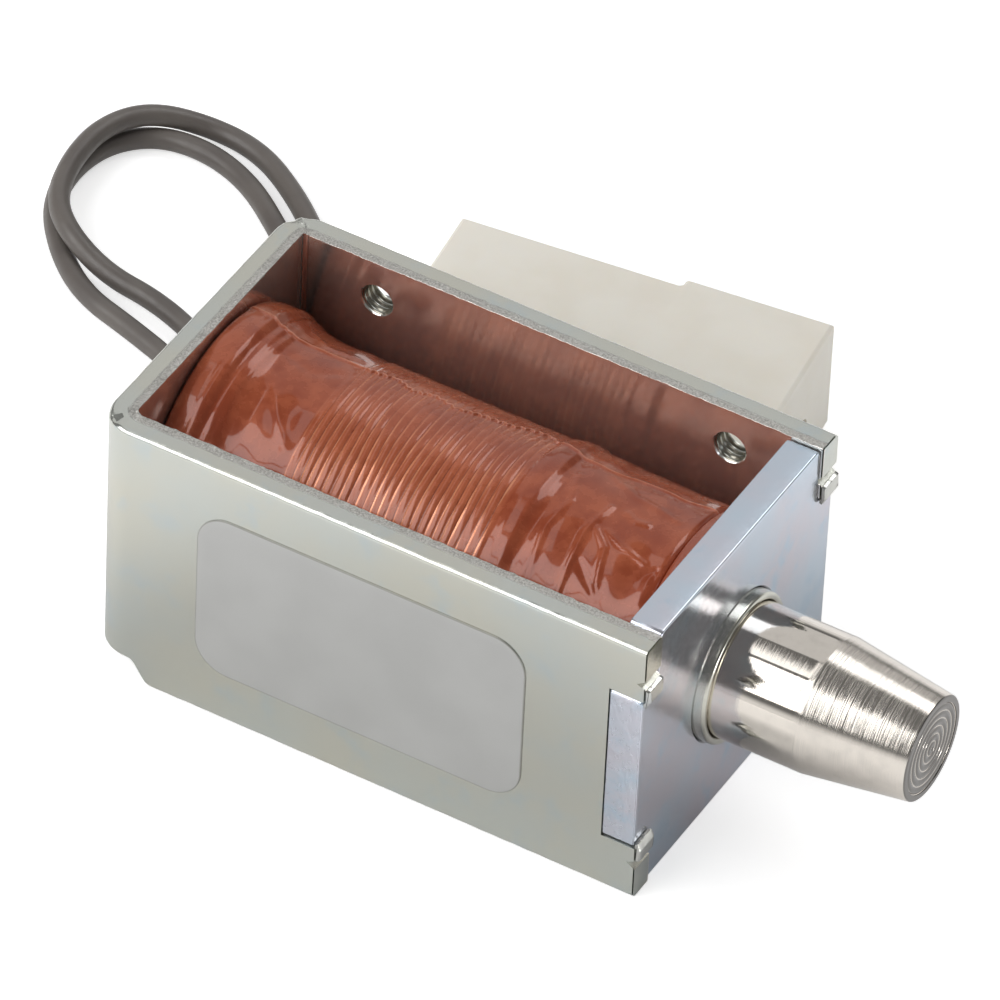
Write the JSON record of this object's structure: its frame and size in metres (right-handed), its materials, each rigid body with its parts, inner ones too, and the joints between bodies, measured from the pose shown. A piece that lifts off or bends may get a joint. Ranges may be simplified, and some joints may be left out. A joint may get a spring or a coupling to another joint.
{
  "type": "solenoid",
  "caption": "Open-frame solenoid: bent steel bracket, wound coil, end plate and a sprung round bolt with a tapered nose, with leads to a white plastic connector.",
  "frame": {"origin": "centre of the four M3 holes, on the outer face of the wall that has them", "axes": "+X along the bolt, out of the end plate; +Y out of the mounting face; +Z towards the open top"},
  "size_m": [0.0872, 0.0527, 0.0226],
  "materials": {
    "zinc_steel": "bright zinc plate, satin",
    "blue_zinc_steel": "blue passivated zinc plate, satin",
    "nickel_silver": "drawn tube, satin",
    "nickel_plate": "nickel plate, bright turned",
    "core_steel": "turned, plated",
    "spring_wire": "drawn wire",
    "bobbin_nylon": "moulded, amber",
    "copper_wire": "enamelled copper",
    "coil_film": "glossy film",
    "label_foil": "matt silver-grey foil",
    "white_nylon": "moulded, natural nylon",
    "lead_sheath": "soft vinyl, satin",
    "solder": "bright solder",
    "tinned_brass": "tin plate"
  },
  "bodies": {
    "body": {"frame": "zinc_steel", "end_plate": "blue_zinc_steel", "guide_tube": "nickel_silver", "fixed_core": "core_steel", "return_spring": "spring_wire", "bobbin": "bobbin_nylon", "winding": "copper_wire", "coil_film": "coil_film", "label": "label_foil", "joint_packet": "coil_film", "connector_housing": "white_nylon", "lead_a": "lead_sheath", "lead_b": "lead_sheath", "solder_joint_a": "solder", "solder_joint_b": "solder", "contact_a": "tinned_brass", "contact_b": "tinned_brass", "conductor_a": "copper_wire", "conductor_b": "copper_wire"},
    "bolt": {"plunger": "nickel_plate"}
  },
  "joints": [
    {"name": "bolt_slide", "type": "slide", "parent": "body", "child": "bolt", "axis": [1, 0, 0], "range_m": [-0.01, 0], "stiffness_N_per_m": 300, "springref_m": 0.005, "deforming": ["return_spring"]}
  ]
}
